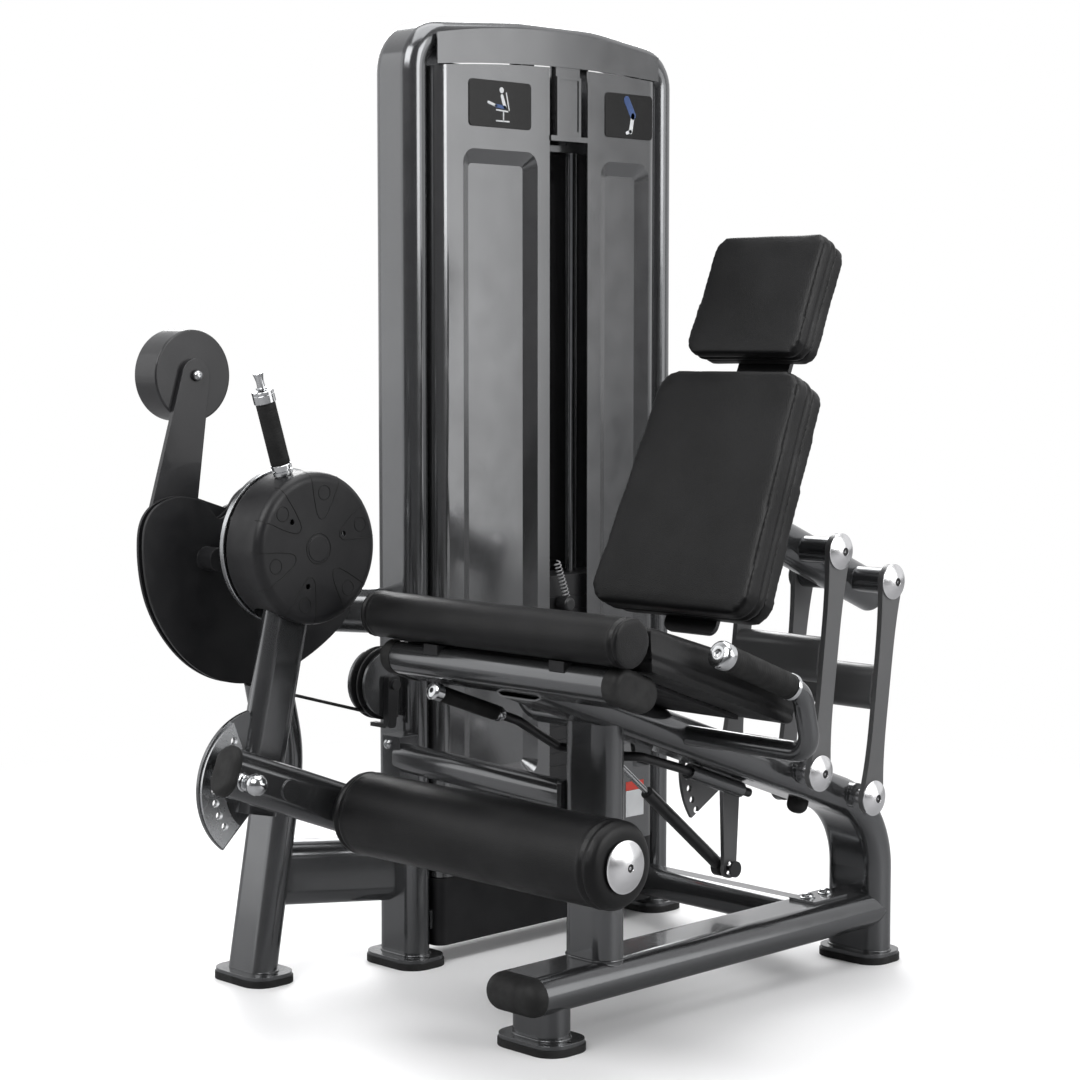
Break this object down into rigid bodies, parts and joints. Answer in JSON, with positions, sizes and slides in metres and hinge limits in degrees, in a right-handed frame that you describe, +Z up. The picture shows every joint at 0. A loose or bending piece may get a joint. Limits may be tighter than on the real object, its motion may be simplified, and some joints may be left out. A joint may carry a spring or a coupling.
{
  "type": "leg extension machine",
  "caption": "Seated leg extension gym machine with shrouded weight tower, cam and counterweight, padded shin roller on a hinged arm, and a backrest on a parallelogram linkage.",
  "frame": {"origin": "centre of the bounding box's bottom face, on the floor", "axes": "+X to the left of a seated user, +Y behind the user, +Z up"},
  "size_m": [1.0215, 1.2184, 1.631],
  "materials": {
    "gunmetal": "glossy metallic powder coat",
    "link_grey": "satin grey powder coat",
    "vinyl": "grained black upholstery vinyl",
    "shell": "black textured backing",
    "board": "black board",
    "rubber": "black rubber",
    "grip": "black ribbed grip",
    "chrome": "polished",
    "silver": "brushed",
    "panel": "dark grey panel",
    "skirt": "black",
    "cam_black": "black moulded",
    "stack": "black painted plates",
    "black_steel": "black satin paint",
    "cable": "black coated cable",
    "label": "printed placard",
    "pulley": "black nylon",
    "aluminium": "polished cap"
  },
  "bodies": {
    "frame": {"main_rail": "gunmetal", "seat_cross_tube": "gunmetal", "base_frame": "gunmetal", "rubber_caps": "rubber", "seat_cushion": "vinyl", "seat_front_roll": "vinyl", "seat_board": "board", "handle_bars": "gunmetal", "handle_grips": "grip", "handle_rings": "chrome", "foot_plates": "gunmetal", "foot_pads": "rubber", "tower_frame": "gunmetal", "tower_shroud": "panel", "tower_cap": "panel", "tower_skirt": "skirt", "placards": "label", "resting_plates": "stack", "guide_rods": "chrome", "tie_tubes": "gunmetal", "far_post": "gunmetal", "tower_beams": "gunmetal", "cable_guard": "black_steel", "drive_cable": "cable", "stack_cable": "cable", "lower_pivot_pins": "aluminium", "frame_bolts": "aluminium"},
    "cam_assembly": {"cam": "cam_black", "rom_disc": "silver", "counterweight_arm": "black_steel", "counterweight": "black_steel"},
    "movement_arm": {"movement_arm": "gunmetal", "index_sector": "silver", "pivot_cover": "cam_black", "rom_handle": "chrome", "rom_grip": "grip"},
    "rom_plunger": {"rom_plunger": "chrome"},
    "ankle_arm": {"ankle_arm": "gunmetal", "ankle_arm_cap": "rubber", "roller_end_cap": "aluminium"},
    "ankle_pull_pin": {"ankle_pull_pin": "chrome"},
    "shin_roller": {"shin_roller": "vinyl"},
    "lifted_stack": {"lifted_plates": "stack", "pin_lanyard": "cable"},
    "selector_pin": {"selector_pin": "black_steel"},
    "lower_pulley": {"lower_pulley": "pulley"},
    "top_pulley_front": {"top_pulley_front": "pulley"},
    "top_pulley_rear": {"top_pulley_rear": "pulley"},
    "front_link": {"front_link": "link_grey"},
    "rear_link": {"rear_link": "link_grey"},
    "backrest": {"backrest_pad": "vinyl", "headrest_pad": "vinyl", "back_shells": "vinyl", "carrier_beam": "gunmetal", "backrest_spine": "black_steel", "upper_pivot_pins": "aluminium"},
    "spring_rod": {"spring_rod": "silver"},
    "spring_cylinder": {"spring_cylinder": "black_steel"},
    "release_lever": {"release_lever": "black_steel", "lever_grip": "grip"}
  },
  "joints": [
    {"name": "leg_extension", "type": "hinge", "parent": "frame", "child": "cam_assembly", "pos_m": [-0.34775, -0.40175, 0.753], "axis": [-1, 0, 0], "range_deg": [0, 75]},
    {"name": "start_position", "type": "hinge", "parent": "cam_assembly", "child": "movement_arm", "pos_m": [-0.19575, -0.40175, 0.753], "axis": [-1, 0, 0], "range_deg": [0, 37.5]},
    {"name": "start_position_plunger", "type": "slide", "parent": "movement_arm", "child": "rom_plunger", "axis": [0, -0.2924, 0.9563], "range_m": [0, 0.012], "stiffness_N_per_m": 900, "springref_m": -0.01},
    {"name": "ankle_position", "type": "hinge", "parent": "movement_arm", "child": "ankle_arm", "pos_m": [-0.19575, -0.49275, 0.389], "axis": [1, 0, 0], "range_deg": [-39, 52]},
    {"name": "ankle_pin", "type": "slide", "parent": "ankle_arm", "child": "ankle_pull_pin", "axis": [1, 0, 0], "range_m": [-0.0045, 0]},
    {"name": "shin_roller_spin", "type": "hinge", "parent": "ankle_arm", "child": "shin_roller", "pos_m": [0.18225, -0.36475, 0.34], "axis": [1, 0, 0], "continuous": true},
    {"name": "stack_lift", "type": "slide", "parent": "frame", "child": "lifted_stack", "axis": [0, 0, 1], "range_m": [0, 0.3], "deforming": ["stack_cable"]},
    {"name": "selector_pin_pull", "type": "slide", "parent": "lifted_stack", "child": "selector_pin", "axis": [1, 0, 0], "range_m": [0, 0.08]},
    {"name": "lower_pulley_spin", "type": "hinge", "parent": "frame", "child": "lower_pulley", "pos_m": [-0.34775, -0.10575, 0.494], "axis": [-1, 0, 0], "range_deg": [0, 320]},
    {"name": "top_pulley_front_spin", "type": "hinge", "parent": "frame", "child": "top_pulley_front", "pos_m": [-0.34775, 0.00225, 1.496], "axis": [1, 0, 0], "range_deg": [0, 320]},
    {"name": "top_pulley_rear_spin", "type": "hinge", "parent": "frame", "child": "top_pulley_rear", "pos_m": [-0.34775, 0.23025, 1.496], "axis": [1, 0, 0], "range_deg": [0, 320]},
    {"name": "backrest_swing", "type": "hinge", "parent": "frame", "child": "front_link", "pos_m": [0.18225, 0.30125, 0.366], "axis": [1, 0, 0], "range_deg": [-6, 14]},
    {"name": "rear_link_swing", "type": "hinge", "parent": "frame", "child": "rear_link", "pos_m": [0.18225, 0.44425, 0.306], "axis": [1, 0, 0], "range_deg": [-6, 14]},
    {"name": "backrest_carrier", "type": "hinge", "parent": "front_link", "child": "backrest", "pos_m": [0.18225, 0.3482, 0.72998], "axis": [1, 0, 0], "range_deg": [-14, 6]},
    {"name": "gas_spring_swing", "type": "hinge", "parent": "frame", "child": "spring_rod", "pos_m": [0.06725, 0.01625, 0.411], "axis": [1, 0, 0], "range_deg": [-3, 6]},
    {"name": "gas_spring_slide", "type": "slide", "parent": "spring_rod", "child": "spring_cylinder", "axis": [0, 0.772, -0.6356], "range_m": [-0.02, 0.04]},
    {"name": "release_lever_turn", "type": "hinge", "parent": "frame", "child": "release_lever", "pos_m": [0.16825, 0.15425, 0.36147], "axis": [0, -0.9397, 0.342], "range_deg": [0, 12], "stiffness_Nm_per_rad": 20, "springref_deg": -8.59}
  ],
  "couplings": [
    {"joint": "stack_lift", "follows": "leg_extension", "m_per_rad": 0.219},
    {"joint": "lower_pulley_spin", "follows": "leg_extension", "ratio": 4.0556},
    {"joint": "top_pulley_front_spin", "follows": "leg_extension", "ratio": 4.0556},
    {"joint": "top_pulley_rear_spin", "follows": "leg_extension", "ratio": 4.0556},
    {"joint": "rear_link_swing", "follows": "backrest_swing", "ratio": 1},
    {"joint": "backrest_carrier", "follows": "backrest_swing", "ratio": -1},
    {"joint": "gas_spring_swing", "follows": "backrest_swing", "ratio": 0.334},
    {"joint": "gas_spring_slide", "follows": "backrest_swing", "m_per_rad": 0.141}
  ]
}
